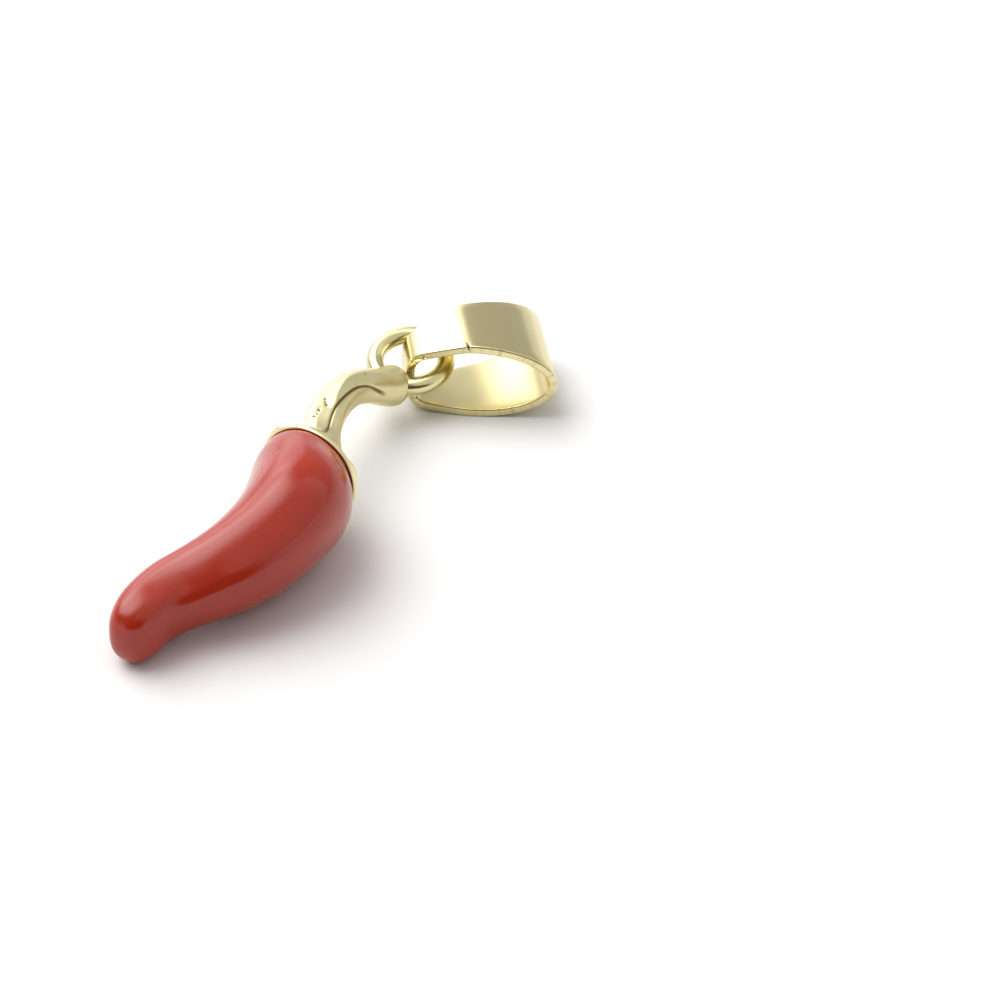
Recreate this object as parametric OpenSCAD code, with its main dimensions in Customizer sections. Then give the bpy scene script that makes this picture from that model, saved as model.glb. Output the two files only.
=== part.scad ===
// Enamel chili pepper charm lying on a flat floor: a red enamelled pepper in a gold calyx
// with a curved stem, an open jump ring through the end of the stem and a tapered bail on it.
// Millimetres, +Z up. The floor is z = 0 and the origin is the middle of the footprint.

/* [Pepper] */
// Thickness of the pepper at its fat shoulder
body_thick = 6.2; // [4.5:0.1:8]
// Length of the pepper from the calyx to its tip
body_long = 18; // [13:0.1:26]

/* [Calyx and stem] */
// Radius of the calyx rim over its ribs
rim_r = 3.4; // [2.6:0.05:4.2]
// Ribs round the calyx
rib_count = 6; // [5:1:8]
// Radius of the stem at its thinnest
stem_r = 1.1; // [0.8:0.05:1.4]
// Bore through the end of the stem
eye_d = 1.3; // [1.24:0.02:1.5]

/* [Jump ring] */
// Radius of the ring to the middle of its wire
ring_r = 2.28; // [2.2:0.02:2.6]
// Thickness of the wire
wire_d = 1.14; // [0.8:0.02:1.2]

/* [Bail] */
// Length of the bail from its narrow end to its round end
bail_long = 9.5; // [7:0.1:14]
// Height of the round end
bail_high = 5.3; // [4:0.1:8]
// Width of the strap at the round end
bail_wide = 7.3; // [5:0.1:10]
// Width of the strap at the narrow end
bail_narrow = 2.5; // [2:0.1:3]
// Thickness of the strap
strap_t = 0.55; // [0.3:0.05:0.7]

/* [Hidden] */

// Middle of the footprint, measured from the middle of the calyx rim
centre_x = 2.6;
centre_y = 0.4;

gap = 0.05;
red = [0.75, 0.16, 0.12];
gold = [0.86, 0.77, 0.5];

// The pepper, a row a section from the calyx to the tip.
// Columns: x, y, z, half thickness, half length of the oval, lean of the oval, heading,
// squareness of the oval (2 is an ellipse)
half_thick = body_thick / 2;
body_table = [
    [-0.06,  0.13, 3.80, 0.98, 1.05, 54, -168, 2.1],
    [-0.55, -0.03, 3.84, 1.00, 1.09, 56, -165, 2.1],
    [-1.34, -0.60, 3.88, 1.03, 1.15, 60, -160, 2.1],
    [-2.40, -1.50, 3.92, 1.05, 1.24, 62, -156, 2.1],
    [-3.72, -2.33, 3.98, 1.06, 1.30, 62, -159, 2.1],
    [-5.35, -2.82, 3.96, 0.99, 1.31, 60, -167, 2.2],
    [-7.35, -3.03, 3.64, 0.94, 1.19, 57, -176, 2.3],
    [-9.70, -2.88, 3.38, 0.85, 1.01, 56, -188, 2.5],
    [-11.5, -2.32, 3.12, 0.77, 0.87, 57, -197, 2.5],
    [-12.6, -1.82, 2.86, 0.73, 0.78, 58, -199, 2.5],
    [-13.7, -1.42, 2.61, 0.69, 0.76, 63, -190, 2.5],
    [-15.0, -1.32, 2.39, 0.62, 0.75, 71, -175, 2.5],
    [-16.1, -1.54, 2.29, 0.57, 0.73, 79, -169, 2.5],
    [-17.0, -1.76, 2.22, 0.47, 0.66, 85, -167, 2.5],
    [-17.6, -1.90, 2.19, 0.37, 0.54, 88, -167, 2.5],
    [-17.95, -1.98, 2.17, 0.24, 0.36, 88, -167, 2.5],
    [-18.07, -2.00, 2.17, 0.09, 0.13, 88, -167, 2.5],
];
body_scale = body_long / 18;
body_steps = 3;
body_around = 44;

// The casting, a row a section from the calyx rim to the eye at the end of the stem.
// Columns: x, y, z, radius, depth of the flutes, heading, pitch
stem_table = [
    [0.00, 0.00, 3.72, 0.95 * rim_r, 0.03,  12,   0],
    [0.18, 0.04, 3.72, 1.00 * rim_r, 0.04,  12,   0],
    [0.50, 0.12, 3.73, 0.93 * rim_r, 0.09,  13,   2],
    [1.00, 0.36, 3.78, 0.71 * rim_r, 0.15,  16,   6],
    [1.70, 0.94, 3.94, 0.53 * rim_r, 0.15,  23,  11],
    [2.75, 1.64, 4.14, 1.26 * stem_r, 0.11, 31, 12],
    [3.95, 2.38, 4.38, 1.14 * stem_r, 0.07, 29,   9],
    [5.30, 3.03, 4.50, 1.08 * stem_r, 0.05, 22,   1],
    [6.85, 3.53, 4.41, 1.04 * stem_r, 0.04, 14,  -8],
    [8.20, 3.79, 4.08, 1.03 * stem_r, 0.03,  7, -18],
    [9.55, 3.89, 3.51, 1.06 * stem_r, 0.02,  1, -26],
    [10.7, 3.88, 2.87, 1.12 * stem_r, 0.01,  0, -28],
    [11.66, 3.91, 2.45, 1.23 * stem_r, 0.00, 1, -28],
];
stem_steps = 3;
stem_around = 60;
rib_turn = 41;
rib_power = 2.4;
stem_end_len = 1.05;
stem_end_steps = 5;

// A plain post on the casting holds the pepper
post_r = 1.1;
post_len = 3.2;
post_from = [0.3, 0.3, 3.78];
post_heading = 194;

// The ring passes through the eye of the stem, its far side raised
eye_x = 11.74;
ring_at = [eye_x + ring_r, 4.31, 3.02];
ring_heading = -49;
ring_tilt = 13;
seam_turn = 262;
seam_gap = 0.06;

// The bail hangs on the ring by its narrow end
bail_at = [ring_at[0] - 0.36, ring_at[1] + 0.29, 0];
bail_turn = -40.5;
arc_steps = 24;
bend_steps = 8;

// Side outline of the bail in shares of its length and height: the middle of the round end, the turn
// at which its arc meets the top, and the bends, each by its start, its pull and its end
round_at = 0.474;
arc_end = 60;
end_low = [[0, 0.36], [0, 0.08], [0.12, 0.04]];
foot = [[0.12, 0.04], [0.24, 0], [0.474, 0]];
crest = [[0.737, 0.933], [0.59, 1.014], [0.453, 1.019]];
crease = [[0.453, 1.019], [0.405, 1.021], [0.353, 0.992]];
end_high = [[0.14, 0.874], [0.01, 0.802], [0, 0.53]];

// The strap widens faster up to its crease than past it
crease_at = 0.41 * bail_long;
crease_wide = bail_narrow + 0.52 * (bail_wide - bail_narrow);
past_end = bail_long + 1;
past_wide = bail_wide + (bail_wide - crease_wide) / (bail_long - crease_at);

function mix_rows(a, b, c, d, t) =
    0.5 * (2 * b + (c - a) * t + (2 * a - 5 * b + 4 * c - d) * t * t + (3 * b - a - 3 * c + d) * t * t * t);
function row_at(table, u) =
    let (last = len(table) - 1, i = min(floor(u), last - 1))
    mix_rows(table[max(i - 1, 0)], table[i], table[i + 1], table[min(i + 2, last)], u - i);
function unit(v) = v / norm(v);
function power_sign(v, p) = sign(v) * pow(abs(v), p);

// One oval section of the pepper, standing upright across its heading
function oval(row) =
    let (h = row[6], lean = row[5], square = 2 / row[7], across = [-sin(h), cos(h), 0])
    [for (k = [0 : body_around - 1])
        let (a = 360 * k / body_around,
             u = row[4] * half_thick * power_sign(cos(a), square),
             v = row[3] * half_thick * power_sign(sin(a), square))
        [row[0] * body_scale, row[1], row[2]]
            + (u * cos(lean) - v * sin(lean)) * across
            + (u * sin(lean) + v * cos(lean)) * [0, 0, 1]];

// One fluted section of the casting, square to its heading and pitch
function fluted(row, shrink, ahead) =
    let (h = row[5], p = row[6], across = [-sin(h), cos(h), 0],
         forward = [cos(h) * cos(p), sin(h) * cos(p), sin(p)],
         up = [-cos(h) * sin(p), -sin(h) * sin(p), cos(p)])
    [for (k = [0 : stem_around - 1])
        let (a = 360 * k / stem_around,
             rib = pow(abs(cos(rib_count / 2 * (a - rib_turn))), rib_power),
             r = row[3] * shrink * (1 - row[4] * (1 - rib)))
        [row[0], row[1], row[2]] + ahead * forward + r * (cos(a) * across + sin(a) * up)];

// A closed skin over a list of sections with the same number of points each, fanned at both ends
function middle(section) = [for (p = section) 1 / len(section)] * section;
module skin(sections) {
    n = len(sections[0]);
    m = len(sections);
    polyhedron(
        points = concat([for (s = sections) each s], [middle(sections[0]), middle(sections[m - 1])]),
        faces = concat(
            [for (k = [0 : n - 1]) [n * m, k, (k + 1) % n]],
            [for (i = [0 : m - 2]) for (k = [0 : n - 1])
                each [[i * n + k, (i + 1) * n + (k + 1) % n, i * n + (k + 1) % n],
                      [i * n + k, (i + 1) * n + k, (i + 1) * n + (k + 1) % n]]],
            [for (k = [0 : n - 1]) [n * m + 1, (m - 1) * n + (k + 1) % n, (m - 1) * n + k]]));
}

body_last = len(body_table) - 1;
body_sections = [for (i = [0 : body_last * body_steps]) oval(row_at(body_table, i / body_steps))];

stem_last = len(stem_table) - 1;
stem_sections = concat(
    [for (i = [0 : stem_last * stem_steps]) fluted(row_at(stem_table, i / stem_steps), 1, 0)],
    [for (k = [1 : stem_end_steps])
        let (a = 84 * k / stem_end_steps) fluted(stem_table[stem_last], cos(a), stem_end_len * sin(a))]);

module placed() {
    translate([-centre_x, -centre_y, 0]) children();
}

module post(grow) {
    translate(post_from) rotate([0, 0, post_heading]) rotate([0, 90, 0])
        cylinder(r = post_r + grow, h = post_len + grow, $fn = 32);
}

module in_ring_plane() {
    translate(ring_at) rotate([ring_tilt, 0, ring_heading]) children();
}

module enamel_body() {
    color(red) placed() difference() {
        skin(body_sections);
        post(gap);
    }
}

module calyx_stem() {
    color(gold) placed() difference() {
        union() {
            skin(stem_sections);
            post(0);
        }
        in_ring_plane() ring_bore();
    }
}

// The bore through the eye follows the wire of the ring
module ring_bore() {
    rotate_extrude($fn = 96) translate([ring_r, 0]) circle(d = eye_d, $fn = 40);
}

module jump_ring() {
    color(gold) placed() in_ring_plane() difference() {
        rotate_extrude($fn = 96) translate([ring_r, 0]) circle(d = wire_d, $fn = 40);
        rotate([0, 0, seam_turn]) translate([ring_r, 0, 0])
            cube([2 * wire_d, seam_gap, 2 * wire_d], center = true);
    }
}

// A curve from the bend's start to its end, drawn toward its pull
function bend(b) =
    [for (k = [0 : bend_steps])
        let (t = k / bend_steps, p = (1 - t) * (1 - t) * b[0] + 2 * t * (1 - t) * b[1] + t * t * b[2])
        [p[0] * bail_long, p[1] * bail_high]];
function round_end() =
    [for (k = [1 : arc_steps])
        let (a = -90 + (arc_end + 90) * k / arc_steps)
        [bail_long * (round_at + (1 - round_at) * cos(a)), bail_high / 2 * (1 + sin(a))]];
function without_first(path) = [for (i = [1 : len(path) - 1]) path[i]];
bail_outline = concat(
    bend(end_low), without_first(bend(foot)), round_end(),
    without_first(bend(crest)), without_first(bend(crease)), bend(end_high));
function inward(path, i, t) =
    let (n = len(path), a = unit(path[i] - path[(i + n - 1) % n]), b = unit(path[(i + 1) % n] - path[i]),
         m = unit([-a[1] - b[1], a[0] + b[0]]), c = m * [-a[1], a[0]])
    path[i] + t / c * m;

module bail() {
    color(gold) placed() translate(bail_at) rotate([0, 0, bail_turn]) intersection() {
        rotate([90, 0, 0]) linear_extrude(height = bail_wide + 1, center = true) difference() {
            polygon(bail_outline);
            polygon([for (i = [0 : len(bail_outline) - 1]) inward(bail_outline, i, strap_t)]);
        }
        translate([0, 0, -1]) linear_extrude(height = bail_high + 2) polygon([
            [-1, bail_narrow / 2], [0, bail_narrow / 2], [crease_at, crease_wide / 2],
            [past_end, past_wide / 2], [past_end, -past_wide / 2],
            [crease_at, -crease_wide / 2], [0, -bail_narrow / 2], [-1, -bail_narrow / 2]]);
    }
}

enamel_body();
calyx_stem();
jump_ring();
bail();
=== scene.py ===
"""Looks of the enamel chili pepper charm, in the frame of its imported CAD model."""
import math
import bpy
import numpy as np
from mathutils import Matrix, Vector

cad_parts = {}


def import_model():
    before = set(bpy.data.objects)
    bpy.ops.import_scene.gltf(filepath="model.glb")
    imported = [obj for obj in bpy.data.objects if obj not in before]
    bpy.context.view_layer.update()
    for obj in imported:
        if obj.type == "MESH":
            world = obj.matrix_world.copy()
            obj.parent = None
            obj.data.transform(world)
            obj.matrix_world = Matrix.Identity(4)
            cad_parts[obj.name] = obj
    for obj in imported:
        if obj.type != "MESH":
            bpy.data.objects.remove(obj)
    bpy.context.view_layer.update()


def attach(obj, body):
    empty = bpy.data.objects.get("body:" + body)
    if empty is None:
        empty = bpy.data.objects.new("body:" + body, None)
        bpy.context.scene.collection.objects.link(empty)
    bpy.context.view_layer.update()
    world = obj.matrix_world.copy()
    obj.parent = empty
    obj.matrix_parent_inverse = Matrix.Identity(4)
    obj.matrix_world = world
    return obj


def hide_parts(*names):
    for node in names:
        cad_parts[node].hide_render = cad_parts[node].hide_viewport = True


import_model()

MM = 0.001
# the tables are in millimetres from the floor under the middle of the calyx rim
# where the frame's own origin lies in them
CENTRE = np.array([2.6, 0.4, 0.0])
UP = np.array([0, 0, 1])


# Tables shared with the CAD source, in millimetres
HALF_THICK = 3.095
# x, y, z, half thickness, half length of the oval, lean, heading, squareness (2 is an ellipse)
BODY = [
    [-0.06, 0.13, 3.80, 0.98, 1.05, 54, -168, 2.1],
    [-0.55, -0.03, 3.84, 1.00, 1.09, 56, -165, 2.1],
    [-1.34, -0.60, 3.88, 1.03, 1.15, 60, -160, 2.1],
    [-2.40, -1.50, 3.92, 1.05, 1.24, 62, -156, 2.1],
    [-3.72, -2.33, 3.98, 1.06, 1.30, 62, -159, 2.1],
    [-5.35, -2.82, 3.96, 0.99, 1.31, 60, -167, 2.2],
    [-7.35, -3.03, 3.64, 0.94, 1.19, 57, -176, 2.3],
    [-9.70, -2.88, 3.38, 0.85, 1.01, 56, -188, 2.5],
    [-11.5, -2.32, 3.12, 0.77, 0.87, 57, -197, 2.5],
    [-12.6, -1.82, 2.86, 0.73, 0.78, 58, -199, 2.5],
    [-13.7, -1.42, 2.61, 0.69, 0.76, 63, -190, 2.5],
    [-15.0, -1.32, 2.39, 0.62, 0.75, 71, -175, 2.5],
    [-16.1, -1.54, 2.29, 0.57, 0.73, 79, -169, 2.5],
    [-17.0, -1.76, 2.22, 0.47, 0.66, 85, -167, 2.5],
    [-17.6, -1.90, 2.19, 0.37, 0.54, 88, -167, 2.5],
    [-17.95, -1.98, 2.17, 0.24, 0.36, 88, -167, 2.5],
    [-18.07, -2.00, 2.17, 0.09, 0.13, 88, -167, 2.5],
]

RIM_R = 3.4
STEM_R = 1.1
# x, y, z, radius, depth of the flutes, heading, pitch
STEM = [
    [0.00, 0.00, 3.72, 0.95 * RIM_R, 0.03, 12, 0],
    [0.18, 0.04, 3.72, 1.00 * RIM_R, 0.04, 12, 0],
    [0.50, 0.12, 3.73, 0.93 * RIM_R, 0.09, 13, 2],
    [1.00, 0.36, 3.78, 0.71 * RIM_R, 0.15, 16, 6],
    [1.70, 0.94, 3.94, 0.53 * RIM_R, 0.15, 23, 11],
    [2.75, 1.64, 4.14, 1.26 * STEM_R, 0.11, 31, 12],
    [3.95, 2.38, 4.38, 1.14 * STEM_R, 0.07, 29, 9],
    [5.30, 3.03, 4.50, 1.08 * STEM_R, 0.05, 22, 1],
    [6.85, 3.53, 4.41, 1.04 * STEM_R, 0.04, 14, -8],
    [8.20, 3.79, 4.08, 1.03 * STEM_R, 0.03, 7, -18],
    [9.55, 3.89, 3.51, 1.06 * STEM_R, 0.02, 1, -26],
    [10.7, 3.88, 2.87, 1.12 * STEM_R, 0.01, 0, -28],
    [11.66, 3.91, 2.45, 1.23 * STEM_R, 0.00, 1, -28],
]
STEM_END = 1.05
RIBS = 6
RIB_TURN = 41
RIB_POWER = 2.4

RING_AT = np.array([14.02, 4.31, 3.02])
RING_TILT = 13
RING_HEADING = -49
RING_R = 2.28
WIRE_R = 0.568
EYE_R = 0.65

BAIL_AT = np.array([13.66, 4.60, 0.0])
BAIL_TURN = -40.5
BAIL_LONG = 9.5
BAIL_HIGH = 5.3
STRAP = 0.55
# side outline of the bail in shares of its length and height: each bend by its start, its pull and its end
ROUND_AT = 0.474
ARC_END = 60
END_LOW = [(0, 0.36), (0, 0.08), (0.12, 0.04)]
FOOT = [(0.12, 0.04), (0.24, 0), (0.474, 0)]
CREST = [(0.737, 0.933), (0.59, 1.014), (0.453, 1.019)]
CREASE = [(0.453, 1.019), (0.405, 1.021), (0.353, 0.992)]
END_HIGH = [(0.14, 0.874), (0.01, 0.802), (0, 0.53)]
CREASE_AT = 3.9
# distance along the bail, width of the strap
WIDTHS = [(0.0, 2.5), (CREASE_AT, 5.0), (9.5, 7.3)]


# Curves
def rows(table, per_row):
    """The table's rows joined by a smooth curve, per_row steps from one to the next."""
    table = np.array(table, float)
    last = len(table) - 1
    out = []
    for i in range(last):
        before, after = table[max(i - 1, 0)], table[min(i + 2, last)]
        start, end = table[i], table[i + 1]
        slope = end - before
        square = 2 * before - 5 * start + 4 * end - after
        cube = 3 * start - before - 3 * end + after
        for k in range(per_row):
            u = k / per_row
            out.append(0.5 * (2 * start + slope * u + square * u**2 + cube * u**3))
    out.append(table[last])
    return np.array(out)


def bell(count, reach):
    """Weights of a bell curve, count steps to each side, adding up to one."""
    weights = np.exp(-0.5 * (np.arange(-count, count + 1) / reach) ** 2)
    return weights / weights.sum()


def soften(values, reach):
    """Evens the curve's bends out along its length, keeping its ends."""
    pad = 3 * reach
    head = 2 * values[0] - values[pad:0:-1]
    tail = 2 * values[-1] - values[-2:-pad - 2:-1]
    longer = np.vstack([head, values, tail])
    return np.column_stack([np.convolve(column, bell(pad, reach), "valid") for column in longer.T])


def soften_loop(points, reach):
    """The same for a curve that closes on itself."""
    count = int(4 * reach) + 1
    steps = range(-count, count + 1)
    return sum(weight * np.roll(points, -k, axis=0) for weight, k in zip(bell(count, reach), steps))


def even_loop(points, count):
    """Evenly spaced points round a closed outline, and its length."""
    closed = np.vstack([points, points[:1]])
    dist = np.concatenate([[0], np.cumsum(np.linalg.norm(np.diff(closed, axis=0), axis=1))])
    at = np.linspace(0, dist[-1], count, endpoint=False)
    return np.column_stack([np.interp(at, dist, column) for column in closed.T]), dist[-1]


def bend(points, steps):
    """A curve from the first point to the last, drawn toward the middle one, in millimetres."""
    t = np.linspace(0, 1, steps + 1)[:, None]
    a, b, c = (np.array(p) * (BAIL_LONG, BAIL_HIGH) for p in points)
    return (1 - t) ** 2 * a + 2 * t * (1 - t) * b + t**2 * c


# Objects
def smooth(mesh):
    for face in mesh.polygons:
        face.use_smooth = True


def grid_object(name, sections, closed_loop=False, painted_shade=None):
    """A mesh over rings of points, in millimetres, fanned at both ends unless it closes on itself.

    The last argument gives a value for each point: how far painted shade darkens its plating there.
    """
    points = np.asarray(sections, float)
    rings, around, _ = points.shape
    verts = ((points.reshape(-1, 3) - CENTRE) * MM).tolist()
    faces = []
    for i in range(rings if closed_loop else rings - 1):
        a, b = i * around, (i + 1) % rings * around
        for k in range(around):
            k2 = (k + 1) % around
            faces.append((a + k, a + k2, b + k2, b + k))
    if not closed_loop:
        for ring, way in ((0, -1), (rings - 1, 1)):
            verts.append(((points[ring].mean(axis=0) - CENTRE) * MM).tolist())
            middle = len(verts) - 1
            for k in range(around):
                pair = (ring * around + k, ring * around + (k + 1) % around)
                faces.append((middle, *pair[::way]))
    mesh = bpy.data.meshes.new(name)
    mesh.from_pydata(verts, [], faces)
    if painted_shade is not None:
        values = np.zeros(len(verts))
        values[:rings * around] = np.asarray(painted_shade).ravel()
        mesh.attributes.new("painted_shade", "FLOAT", "POINT").data.foreach_set("value", values)
    mesh.validate()
    mesh.update()
    smooth(mesh)
    obj = bpy.data.objects.new(name, mesh)
    bpy.context.scene.collection.objects.link(obj)
    return obj


def show(obj, node, material):
    """Shows the object in place of a CAD node."""
    obj.data.materials.clear()
    obj.data.materials.append(material)
    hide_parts(node)
    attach(obj, "root")


# Material nodes
def new_material(name):
    """A material, its node tree and its shader."""
    material = bpy.data.materials.new(name)
    material.use_nodes = True
    nt = material.node_tree
    return material, nt, nt.nodes["Principled BSDF"]


def object_coords(nt):
    return nt.nodes.new("ShaderNodeTexCoord").outputs["Object"]


def noise(nt, coords, scale, detail, rough):
    node = nt.nodes.new("ShaderNodeTexNoise")
    node.inputs["Scale"].default_value = scale
    node.inputs["Detail"].default_value = detail
    node.inputs["Roughness"].default_value = rough
    nt.links.new(coords, node.inputs["Vector"])
    return node.outputs["Fac"]


def ramp(nt, source, stops):
    node = nt.nodes.new("ShaderNodeValToRGB")
    elements = node.color_ramp.elements
    while len(elements) < len(stops):
        elements.new(0.5)
    for element, (at, color) in zip(elements, stops):
        element.position = at
        element.color = (*color, 1.0)
    nt.links.new(source, node.inputs["Fac"])
    return node.outputs["Color"]


def bump(nt, height, strength, distance, before=None):
    """A bump of the normal, its distance in millimetres, over the bump before it."""
    node = nt.nodes.new("ShaderNodeBump")
    node.inputs["Strength"].default_value = strength
    node.inputs["Distance"].default_value = distance * MM
    nt.links.new(height, node.inputs["Height"])
    if before is not None:
        nt.links.new(before, node.inputs["Normal"])
    return node.outputs["Normal"]


def to_range(nt, source, low, high):
    node = nt.nodes.new("ShaderNodeMapRange")
    node.inputs["To Min"].default_value = low
    node.inputs["To Max"].default_value = high
    nt.links.new(source, node.inputs["Value"])
    return node.outputs["Result"]


# Materials
REDS = [(0.3, (0.34, 0.021, 0.006)), (0.55, (0.365, 0.023, 0.007)), (0.75, (0.39, 0.026, 0.009))]
GOLD = (0.79, 0.70, 0.38)
GOLD_CASTING = (0.85, 0.76, 0.44)
# brightness of the plating's darker clouds, and the colour of the painted shade in its crease, wrinkles,
# pits, notch and nicks
CLOUDED = 0.94
PAINTED_SHADE_COLOR = (0.13, 0.08, 0.03)


def enamel():
    material, nt, shader = new_material("red_enamel")
    coords = object_coords(nt)
    cloud = noise(nt, coords, scale=160, detail=4.0, rough=0.55)
    nt.links.new(ramp(nt, cloud, REDS), shader.inputs["Base Color"])
    fine = noise(nt, coords, scale=900, detail=3.0, rough=0.5)
    nt.links.new(to_range(nt, fine, low=0.10, high=0.18), shader.inputs["Roughness"])
    # an orange-peel skin with scattered specks
    peel = bump(nt, noise(nt, coords, scale=700, detail=2.0, rough=0.4), strength=0.12, distance=0.06)
    cells = nt.nodes.new("ShaderNodeTexVoronoi")
    cells.inputs["Scale"].default_value = 330
    nt.links.new(coords, cells.inputs["Vector"])
    dots = ramp(nt, cells.outputs["Distance"], [(0.0, (0, 0, 0)), (0.09, (1, 1, 1))])
    specks = bump(nt, dots, strength=0.35, distance=0.06, before=peel)
    nt.links.new(specks, shader.inputs["Normal"])
    shader.inputs["IOR"].default_value = 1.5
    return material


def gold(name, base, rough_low, rough_high, wave_scale, wave_strength):
    material, nt, shader = new_material(name)
    coords = object_coords(nt)
    cloud = noise(nt, coords, scale=240, detail=4.0, rough=0.6)
    plating = ramp(nt, cloud, [(0.3, tuple(CLOUDED * c for c in base)), (0.7, base)])
    # painted shade: a value on each point darkens the plating toward dark brown in the crease, wrinkles,
    # pits, notch and nicks
    painted_shade = nt.nodes.new("ShaderNodeAttribute")
    painted_shade.attribute_name = "painted_shade"
    shaded_plating = nt.nodes.new("ShaderNodeMixRGB")
    nt.links.new(painted_shade.outputs["Fac"], shaded_plating.inputs["Fac"])
    nt.links.new(plating, shaded_plating.inputs["Color1"])
    shaded_plating.inputs["Color2"].default_value = (*PAINTED_SHADE_COLOR, 1)
    nt.links.new(shaded_plating.outputs["Color"], shader.inputs["Base Color"])
    shader.inputs["Metallic"].default_value = 1.0
    fine = noise(nt, coords, scale=1100, detail=3.0, rough=0.6)
    nt.links.new(to_range(nt, fine, rough_low, rough_high), shader.inputs["Roughness"])
    # slow waves in the surface under a fine grain
    waves = noise(nt, coords, wave_scale, detail=2.0, rough=0.45)
    wave = bump(nt, waves, wave_strength, distance=0.08)
    grains = noise(nt, coords, scale=4200, detail=2.0, rough=0.5)
    grain = bump(nt, grains, strength=0.05, distance=0.02, before=wave)
    nt.links.new(grain, shader.inputs["Normal"])
    return material


# The pepper
# its rounded end in the lip of the calyx: length, share by which it falls in, and the turns that are drawn
BEAD_LONG = 0.12
BEAD_FALL = 0.04
BEAD_TURNS = [0, 20, 40, 60, 75, 90]
# the curve of the table goes on from here, in shares of the rounded end
PAST_BEAD = 1.3
# share by which the pepper narrows at its end, and how far that reaches
INSET = 0.03
INSET_LONG = 0.25
# the neck sits in the middle of the lip: its shift, and how far that reaches
NECK_SHIFT = np.array([0.02, -0.09, -0.08])
NECK_LONG = 1.5


def narrow(away):
    """Width of the pepper this far from its end, in shares of the table's."""
    return 1 - INSET * math.exp(-(away / INSET_LONG) ** 2)


def pepper_section(row, around, shrink, ahead=0.0):
    """A ring of points round the pepper, as an oval with squared corners."""
    _, _, _, thick, long, lean, heading, square = row
    turns = np.linspace(0, 2 * math.pi, around, endpoint=False)
    wide, high = (np.sign(x) * np.abs(x) ** (2 / square) for x in (np.cos(turns), np.sin(turns)))
    u, v = long * HALF_THICK * shrink * wide, thick * HALF_THICK * shrink * high
    c, s = math.cos(math.radians(lean)), math.sin(math.radians(lean))
    h = math.radians(heading)
    across = np.array([-math.sin(h), math.cos(h), 0])
    forward = np.array([math.cos(h), math.sin(h), 0])
    return row[:3] + ahead * forward + np.outer(u * c - v * s, across) + np.outer(u * s + v * c, UP)


def pepper():
    per_row, around = ((16, 144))
    path = soften(rows(BODY, per_row), per_row // 3)
    away = (path[:, :1] - path[0, 0]) / NECK_LONG
    path[:, :3] += NECK_SHIFT * np.exp(-away**2)
    sections = []
    for turn in np.radians(BEAD_TURNS):
        ahead = BEAD_LONG * (1 - math.cos(turn))
        fall = 1 - BEAD_FALL * (1 - math.sin(turn))
        sections.append(pepper_section(path[0], around, narrow(ahead) * fall, ahead))
    for row in path:
        away = path[0][0] - row[0]
        if away > PAST_BEAD * BEAD_LONG:
            sections.append(pepper_section(row, around, narrow(away)))
    show(grid_object("pepper_enamel", sections), "enamel_body", enamel())


# The casting: calyx, stem and eye
# places along the stem are rows of its table, and turns round it are in degrees, 90 on top
# usual distance from one row of the table to the next
ROW_LONG = 1.4
# the flutes are drawn deeper than in the table by this factor
FLUTE_DEEP = 1.35
# small pits: place along the stem, turn round it, radius, depth
PITS = [
    (5.58, 67, 0.12, 0.09), (5.72, 74, 0.10, 0.07), (5.98, 76, 0.11, 0.08), (6.38, 94, 0.13, 0.10),
    (6.50, 86, 0.09, 0.07), (6.68, 80, 0.10, 0.07), (5.30, 60, 0.08, 0.04), (9.20, 110, 0.08, 0.03),
]
# the painted shade in a pit falls off faster than the pit by this factor
PIT_SHADE_FALL = 1.4
# the crease on the near side of the stem: place along it, turn round it; width in degrees, fade in rows
CREASE_LINE = [
    (4.2, 108), (5.05, 123), (6.4, 127), (7.1, 135), (8.35, 145), (9.1, 156), (9.85, 177), (10.6, 192),
]
CREASE_DEEP = 0.15
CREASE_WIDE = 5.0
CREASE_FADE = 0.6
# how dark the painted shade in the crease is
CREASE_SHADE = 0.85
# wrinkles round the neck: place along the stem at the first turn of their span, and their fall a degree
WRINKLES = [4.45, 4.67, 4.89]
WRINKLE_SPAN = (50, 118)
WRINKLE_FADE = 10
WRINKLE_FALL = 0.0065
WRINKLE_WIDE = 0.09
WRINKLE_DEEP = 0.04
# how dark the painted shade in the wrinkles is
WRINKLE_SHADE = 0.65
# the flattened top of the stem: place along it, height of the flat in shares of the radius, turn of the flat
FLAT = [(3.6, 1.0, 98), (4.6, 0.86, 98), (6.2, 0.78, 92), (7.4, 0.88, 80), (8.4, 1.0, 76)]
# how sharply the flat meets the sides, and the least cosine that it is worked out with
FLAT_SHARP = 40
FLAT_LEAST = 0.2
# radii of the casting's face inside the lip, and its place ahead of the first row
FACE_RADII = (1.6, 2.7)
FACE_AHEAD = 0.06
# the lip round the calyx: top, thickness, half width, place ahead of the rim, and the arc that is drawn
LIP_TOP = 3.4
LIP_THICK = 0.28
LIP_HALF = 0.19
LIP_AHEAD = -0.18
LIP_ARC = (240, 55)
# its inner edge follows the oval of the pepper: half length, half thickness, turn
LIP_OVAL = (3.24, 3.02, 126)
# last turn of the rounded end of the stem
CAP_TURN = 84
# edges of the casting sharper than this, in degrees, stay sharp
SHARP_EDGE = 38


def off_turn(deg, turn):
    """How far each turn is from this one, from -180 to 180 degrees."""
    return (deg - turn + 180) % 360 - 180


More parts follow.
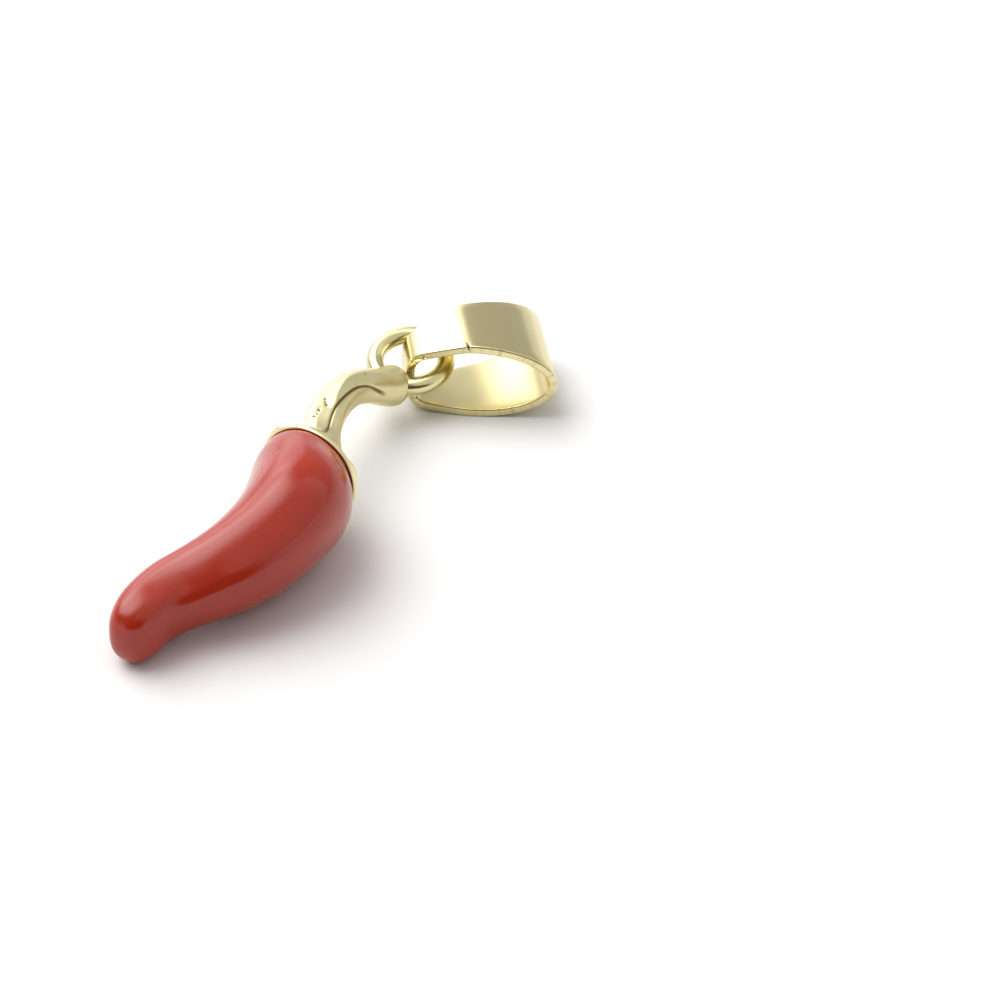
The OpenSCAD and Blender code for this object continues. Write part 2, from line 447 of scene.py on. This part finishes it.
def flattened(r, row, u, deg):
    """The radius with the flat on top, which meets the round sides softly."""
    places, heights, turns = zip(*FLAT)
    if u <= places[0]:
        return r
    off = np.radians(off_turn(deg, np.interp(u, places, turns)))
    flat = row[3] * np.interp(u, places, heights) / np.maximum(np.cos(off), FLAT_LEAST)
    return -np.logaddexp(-r * FLAT_SHARP, -flat * FLAT_SHARP) / FLAT_SHARP


def crease(u, deg):
    """How much of the crease there is at each turn. It fades out at both its ends."""
    places, turns = zip(*CREASE_LINE)
    fade = max(0.0, min(1.0, (u - places[0]) / CREASE_FADE, (places[-1] - u) / CREASE_FADE))
    return fade * np.exp(-(off_turn(deg, np.interp(u, places, turns)) / CREASE_WIDE) ** 2)


def wrinkle(u, deg, place):
    """How much of a wrinkle there is at each turn."""
    first, last = WRINKLE_SPAN
    span = np.clip((deg - first) / WRINKLE_FADE, 0, 1) * np.clip((last - deg) / WRINKLE_FADE, 0, 1)
    away = (u - place + WRINKLE_FALL * (deg - first)) * ROW_LONG
    return span * np.exp(-(away / WRINKLE_WIDE) ** 2)


def casting_radius(row, u, deg):
    """Radius at each turn round the stem, and how far painted shade darkens its plating there."""
    rib = np.abs(np.cos(np.radians(RIBS / 2 * (deg - RIB_TURN)))) ** RIB_POWER
    r = flattened(row[3] * (1 - FLUTE_DEEP * row[4] * (1 - rib)), row, u, deg)
    r = r - CREASE_DEEP * crease(u, deg)
    # painted shade in the crease, where the groove lies in shade
    painted_shade = CREASE_SHADE * crease(u, deg)
    # painted shade in the troughs of the wrinkles
    for place in WRINKLES:
        r = r - WRINKLE_DEEP * wrinkle(u, deg, place)
        painted_shade = np.maximum(painted_shade, WRINKLE_SHADE * wrinkle(u, deg, place))
    r = np.minimum(r, row[3])
    # painted shade in the pits, darkest at their middles
    for place, turn, size, deep in PITS:
        along = (u - place) * ROW_LONG
        round_it = np.radians(off_turn(deg, turn)) * row[3]
        away = (along**2 + round_it**2) / size**2
        r = r - deep * np.exp(-away)
        painted_shade = np.maximum(painted_shade, np.exp(-PIT_SHADE_FALL * away))
    return r, painted_shade


def round_stem(row, deg, r, ahead):
    """Points at these radii round a row of the stem's table."""
    h, p = math.radians(row[5]), math.radians(row[6])
    across = np.array([-math.sin(h), math.cos(h), 0])
    forward = np.array([math.cos(h) * math.cos(p), math.sin(h) * math.cos(p), math.sin(p)])
    up = np.cross(forward, across)
    turns = np.radians(deg)
    return row[:3] + ahead * forward + np.outer(r * np.cos(turns), across) + np.outer(r * np.sin(turns), up)


def stem_section(row, u, deg, shrink=1.0, ahead=0.0):
    """A ring of points round the stem, and how far painted shade darkens each."""
    r, painted_shade = casting_radius(row, u, deg)
    return round_stem(row, deg, shrink * r, ahead), painted_shade


def lip_section(turn, deg):
    """A ring of points round the lip of the calyx, at this turn of its arc, and its painted shade, which is
    none.
    """
    long, thick, oval_turn = LIP_OVAL
    off = np.radians(deg - oval_turn)
    inner = 1 / np.hypot(np.cos(off) / long, np.sin(off) / thick)
    top = np.minimum(LIP_TOP, inner + LIP_THICK)
    r = top - (top - inner) / 2 * (1 - math.sin(turn))
    return round_stem(STEM[1], deg, r, LIP_AHEAD + LIP_HALF * math.cos(turn)), np.zeros(len(deg))


def cut_bore(obj):
    """Draws the lines where the wire of the ring enters the eye, and sets which edges are sharp.

    The cutter's faces look inward, so the solver leaves the bore itself closed.
    """
    cutter = torus("bore_cutter", EYE_R, along=96, around=32)
    cut = obj.modifiers.new("bore", "BOOLEAN")
    cut.operation = "DIFFERENCE"
    cut.solver = "EXACT"
    cut.object = cutter
    bpy.context.view_layer.update()
    cut_object = obj.evaluated_get(bpy.context.evaluated_depsgraph_get())
    mesh = bpy.data.meshes.new_from_object(cut_object)
    obj.modifiers.clear()
    obj.data = mesh
    mesh.name = obj.name
    bpy.data.objects.remove(cutter)
    smooth(mesh)
    mesh.set_sharp_from_angle(angle=math.radians(SHARP_EDGE))


def casting():
    per_row, around, lip_steps = ((28, 220, 17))
    path = rows(STEM, per_row)
    deg = np.linspace(0, 360, around, endpoint=False)
    parts = [stem_section(STEM[0], 0, deg, r / STEM[0][3], FACE_AHEAD) for r in FACE_RADII]
    parts += [lip_section(turn, deg) for turn in np.radians(np.linspace(*LIP_ARC, lip_steps))]
    parts += [stem_section(row, i / per_row, deg) for i, row in enumerate(path) if i > per_row]
    for turn in np.radians(np.linspace(0, CAP_TURN, per_row))[1:]:
        parts.append(stem_section(path[-1], len(STEM) - 1, deg, math.cos(turn), STEM_END * math.sin(turn)))
    sections, painted_shade = zip(*parts)
    obj = grid_object("calyx_and_stem", sections, painted_shade=painted_shade)
    cut_bore(obj)
    material = gold("gold_cast", GOLD_CASTING, 0.30, 0.38, wave_scale=520, wave_strength=0.12)
    show(obj, "calyx_stem", material)


# The jump ring, open at its butt joint
# turn of the joint, half of its gap, and the turn over which its ends are eased, in degrees
SEAM = 262
SEAM_HALF = 1.3
EASED = 1.6
# the eased end of the wire: share of its radius, share of the turn
EASE = [(0.86, 0.0), (0.93, 0.12), (0.975, 0.4), (1.0, 1.0)]
PAST_EASE = 1.3


def wire_section(angle, wire_r, around):
    """A ring of points round the wire of the jump ring at this turn.

    Their order makes the faces of the ring and of the bore's cutter look inward.
    """
    tilt, heading = math.radians(RING_TILT), math.radians(RING_HEADING)
    turns = np.linspace(0, 2 * math.pi, around, endpoint=False)
    out = RING_R + wire_r * np.cos(turns)
    points = np.column_stack([out * math.cos(angle), out * math.sin(angle), wire_r * np.sin(turns)])
    c, s = math.cos(tilt), math.sin(tilt)
    tilted = np.array([[1, 0, 0], [0, c, -s], [0, s, c]])
    c, s = math.cos(heading), math.sin(heading)
    turned = np.array([[c, -s, 0], [s, c, 0], [0, 0, 1]])
    return RING_AT + points @ (turned @ tilted).T


def torus(name, wire_r, along, around):
    angles = np.linspace(0, 2 * math.pi, along, endpoint=False)
    return grid_object(name, [wire_section(x, wire_r, around) for x in angles], closed_loop=True)


def jump_ring():
    along, around = ((220, 56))
    start, end = math.radians(SEAM + SEAM_HALF), math.radians(SEAM + 360 - SEAM_HALF)
    eased = math.radians(EASED)
    middle = np.linspace(start + PAST_EASE * eased, end - PAST_EASE * eased, along)
    sections = [wire_section(start + turn * eased, WIRE_R * share, around) for share, turn in EASE]
    sections += [wire_section(x, WIRE_R, around) for x in middle]
    sections += [wire_section(end - turn * eased, WIRE_R * share, around) for share, turn in EASE[::-1]]
    material = gold("gold_wire", GOLD, 0.16, 0.24, wave_scale=500, wave_strength=0.06)
    show(grid_object("jump_ring_wire", sections), "jump_ring", material)


# The bail: a strap with rounded edges swept round its side outline
# radius of the strap's edges, and how far the corners of its outline are eased
EDGE_R = 0.13
CORNER_EASE = 0.09
# usual length, spread, depth and painted shade of the nicks along its cut edges, and how wide an edge they
# take
NICK_LONG = 0.16
NICK_SPREAD = 0.6
NICK_DEEP = 0.018
NICK_SHADE = 0.3
NICK_EDGE = 0.05
NICK_SEED = 7
# the notch at the end of the crease: depth, half length, how far it goes in and down, painted shade a
# millimetre of its depth
NOTCH_DEEP = 0.2
NOTCH_HALF = 0.09
NOTCH_IN = 0.2
NOTCH_SHADE = 6
# the crease is on the part of the outline that is higher than this
UPPER_STRAP = 4


def bail_outline(arc):
    """Points round the outer face of the bail, seen from its side."""
    turns = np.radians(np.linspace(-90, ARC_END, arc + 1))[1:]
    along = BAIL_LONG * (ROUND_AT + (1 - ROUND_AT) * np.cos(turns))
    round_end = np.column_stack([along, BAIL_HIGH / 2 * (1 + np.sin(turns))])
    steps = arc // 3
    lower = np.vstack([bend(END_LOW, steps), bend(FOOT, steps)[1:]])
    upper = np.vstack([bend(CREST, steps)[1:], bend(CREASE, steps)[1:], bend(END_HIGH, steps)])
    return np.vstack([lower, round_end, upper])


def strap_loop(half, steps, edge_steps):
    """Places across the strap and depths under its outer face, round its section."""
    side, deep = half - EDGE_R, STRAP - EDGE_R
    flat = np.linspace(-side, side, steps)
    quarter = np.linspace(0, 90, edge_steps + 1)

    def corner(x, y, turns):
        return [(x + EDGE_R * math.cos(t), y + EDGE_R * math.sin(t)) for t in np.radians(turns)]

    loop = [(x, 0.0) for x in flat]
    loop += corner(side, EDGE_R, quarter[1:] - 90) + corner(side, deep, quarter)
    loop += [(x, STRAP) for x in flat[-2::-1]]
    loop += corner(-side, deep, quarter[1:] + 90) + corner(-side, EDGE_R, quarter[:-1] + 180)
    return np.array(loop).T


def bail():
    arc, steps, edge_steps, count = ((90, 9, 5, 640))
    outline, total = even_loop(bail_outline(arc), count)
    outline = soften_loop(outline, CORNER_EASE / (total / count))
    tangent = np.roll(outline, -1, axis=0) - np.roll(outline, 1, axis=0)
    tangent /= np.linalg.norm(tangent, axis=1)[:, None]
    inward = np.column_stack([-tangent[:, 1], tangent[:, 0]])
    turn = math.radians(BAIL_TURN)
    ahead = np.array([math.cos(turn), math.sin(turn), 0])
    aside = np.array([-math.sin(turn), math.cos(turn), 0])
    nicks = int(total / NICK_LONG)
    draws = np.random.default_rng(NICK_SEED).normal(0, NICK_SPREAD, nicks + 1)
    nick = np.interp(np.arange(count) * nicks / count, np.arange(nicks + 1), draws).clip(0)
    sections, painted_shade = [], []
    for at, inner, rough in zip(outline, inward, nick):
        half = np.interp(at[0], *zip(*WIDTHS)) / 2
        x, deep = strap_loop(half, steps, edge_steps)
        cut_edge = np.abs(x) > half - NICK_EDGE
        notch = NOTCH_DEEP * math.exp(-((at[0] - CREASE_AT) / NOTCH_HALF) ** 2) if at[1] > UPPER_STRAP else 0
        notch = np.where(x < -half + NOTCH_IN, notch * np.exp(-(deep / NOTCH_IN) ** 2), 0)
        shift = notch - np.where(cut_edge, NICK_DEEP * rough * np.sign(x), 0)
        place = at + np.outer(deep, inner)
        spread = np.outer(x + shift, aside)
        sections.append(BAIL_AT + np.outer(place[:, 0], ahead) + spread + np.outer(place[:, 1], UP))
        # painted shade: darker where the nicks of the cut edges are deeper, and in the notch
        nick_shade = np.where(cut_edge, NICK_SHADE * min(1.0, rough), 0)
        painted_shade.append(np.maximum(nick_shade, np.minimum(1, NOTCH_SHADE * notch)))
    obj = grid_object("bail_strap", sections, closed_loop=True, painted_shade=painted_shade)
    show(obj, "bail", gold("gold_strap", GOLD, 0.15, 0.23, wave_scale=260, wave_strength=0.05))
    # the inner face is satin
    obj.data.materials.append(gold("gold_satin", GOLD, 0.26, 0.36, wave_scale=420, wave_strength=0.09))
    inner_from = steps + 2 * edge_steps
    inner_to = inner_from + steps - 1
    for i, face in enumerate(obj.data.polygons):
        if inner_from <= i % len(sections[0]) < inner_to:
            face.material_index = 1


# The photograph's own axes: x right, y away and z up from the floor point in its middle
PHOTO_TURN = math.radians(49)
PHOTO_ORIGIN = (-11.72, -2.25)


def from_photo(x, y, z):
    """A place in the photograph's own axes, in millimetres."""
    dx, dy = x - PHOTO_ORIGIN[0], y - PHOTO_ORIGIN[1]
    c, s = math.cos(PHOTO_TURN), math.sin(PHOTO_TURN)
    return Vector(((c * dx + s * dy - CENTRE[0]) * MM, (-s * dx + c * dy - CENTRE[1]) * MM, z * MM))


def toward(turn, rise):
    """The direction that turns right from straight away in the photograph and rises, both in degrees."""
    t, r = math.radians(turn), math.radians(rise)
    end = from_photo(math.sin(t) * math.cos(r), math.cos(t) * math.cos(r), math.sin(r))
    return (end - from_photo(0, 0, 0)).normalized()


# The floor, in metres
FLOOR_HALF = 1.2
FLOOR_STEPS = 24
FLOOR_TONES = [(0.3, (0.79, 0.78, 0.775)), (0.7, (0.81, 0.80, 0.795))]


def floor():
    side = np.linspace(-FLOOR_HALF, FLOOR_HALF, FLOOR_STEPS + 1)
    verts = [(x, y, 0.0) for y in side for x in side]
    corners = [j * len(side) + i for j in range(FLOOR_STEPS) for i in range(FLOOR_STEPS)]
    mesh = bpy.data.meshes.new("floor")
    mesh.from_pydata(verts, [], [(k, k + 1, k + 1 + len(side), k + len(side)) for k in corners])
    obj = bpy.data.objects.new("floor", mesh)
    bpy.context.scene.collection.objects.link(obj)
    material, nt, shader = new_material("pale_floor")
    cloud = noise(nt, object_coords(nt), scale=30, detail=2.0, rough=0.5)
    nt.links.new(ramp(nt, cloud, FLOOR_TONES), shader.inputs["Base Color"])
    shader.inputs["Roughness"].default_value = 0.7
    shader.inputs["Specular IOR Level"].default_value = 0.2
    mesh.materials.append(material)


# The light
# stops give a brightness by the height of a direction, or by its nearness to another, 1 where they agree
def grey(*stops):
    return [(at, (value, value, value)) for at, value in stops]


# the floor's paper curves up at its edge and meets a dim tent, which is darker on the camera's side
SWEEP = grey((0.19, 0.85), (0.21, 0.2), (0.225, 0.2), (0.24, 0.0))
TENT = grey((0.21, 0.0), (0.24, 1.0))
TENT_BACK = grey((0.0, 0.22), (0.35, 0.50))
# the main soft light, one behind it, a faint low one and a grey panel: turn, rise, brightness, strength
LIGHTS = [
    (-70, 60, grey((0.75, 0), (0.84, 0.17), (0.925, 0.7), (0.98, 1)), 4.2),
    (-36, 34, grey((0.875, 0), (0.92, 0.25), (0.97, 1)), 1.9),
    (-14, 17, grey((0.95, 0), (0.985, 1)), 0.8),
    (105, 50, grey((0.71, 0), (0.76, 1)), 0.5),
]
# the tent's opening, where the camera stands
OPENING_TURN = grey((0.60, 0), (0.80, 1))
OPENING_HEIGHT = grey((0.52, 1), (0.62, 0))
OPENING_COLOR = (0.05, 0.045, 0.04, 1)


def times(nt, a, b):
    node = nt.nodes.new("ShaderNodeMath")
    node.operation = "MULTIPLY"
    nt.links.new(a, node.inputs[0])
    nt.links.new(b, node.inputs[1])
    return node.outputs[0]


def nearness(nt, coords, turn, rise, stops):
    """A value that changes with the angle from a direction, by the stops."""
    node = nt.nodes.new("ShaderNodeVectorMath")
    node.operation = "DOT_PRODUCT"
    node.inputs[1].default_value = tuple(toward(turn, rise))
    nt.links.new(coords, node.inputs[0])
    return ramp(nt, node.outputs["Value"], stops)


def glow(nt, color, strength=1.0):
    node = nt.nodes.new("ShaderNodeBackground")
    node.inputs["Strength"].default_value = strength
    nt.links.new(color, node.inputs["Color"])
    return node.outputs[0]


def both(nt, a, b):
    node = nt.nodes.new("ShaderNodeAddShader")
    nt.links.new(a, node.inputs[0])
    nt.links.new(b, node.inputs[1])
    return node.outputs[0]


def world():
    tent = bpy.data.worlds.new("tent")
    bpy.context.scene.world = tent
    tent.use_nodes = True
    nt = tent.node_tree
    nt.nodes.remove(nt.nodes["Background"])
    coords = nt.nodes.new("ShaderNodeTexCoord").outputs["Generated"]
    split = nt.nodes.new("ShaderNodeSeparateXYZ")
    nt.links.new(coords, split.inputs[0])
    height = split.outputs["Z"]
    back = nearness(nt, coords, 0, 0, TENT_BACK)
    light = both(nt, glow(nt, ramp(nt, height, SWEEP)), glow(nt, times(nt, ramp(nt, height, TENT), back)))
    for turn, rise, stops, strength in LIGHTS:
        light = both(nt, light, glow(nt, nearness(nt, coords, turn, rise, stops), strength))
    front = nearness(nt, coords, 180, 0, OPENING_TURN)
    opening = nt.nodes.new("ShaderNodeBackground")
    opening.inputs["Color"].default_value = OPENING_COLOR
    mix = nt.nodes.new("ShaderNodeMixShader")
    nt.links.new(times(nt, front, ramp(nt, height, OPENING_HEIGHT)), mix.inputs["Fac"])
    nt.links.new(light, mix.inputs[1])
    nt.links.new(opening.outputs[0], mix.inputs[2])
    nt.links.new(mix.outputs[0], nt.nodes["World Output"].inputs["Surface"])


# The camera, its lengths in millimetres
TILT = math.radians(36)
DISTANCE = 218.75
LENS = 126
SENSOR = 36
CLIP_START = 10


def camera():
    data = bpy.data.cameras.new("camera")
    data.sensor_width = SENSOR
    data.lens = LENS
    data.clip_start = CLIP_START * MM
    obj = bpy.data.objects.new("camera", data)
    bpy.context.scene.collection.objects.link(obj)
    obj.location = from_photo(0, -DISTANCE * math.cos(TILT), DISTANCE * math.sin(TILT))
    obj.rotation_euler = (math.pi / 2 - TILT, 0, -PHOTO_TURN)
    bpy.context.scene.camera = obj
    bpy.context.scene.view_settings.view_transform = "Standard"
    bpy.context.scene.view_settings.look = "None"


pepper()
casting()
jump_ring()
bail()
floor()
world()
camera()

bpy.context.view_layer.update()
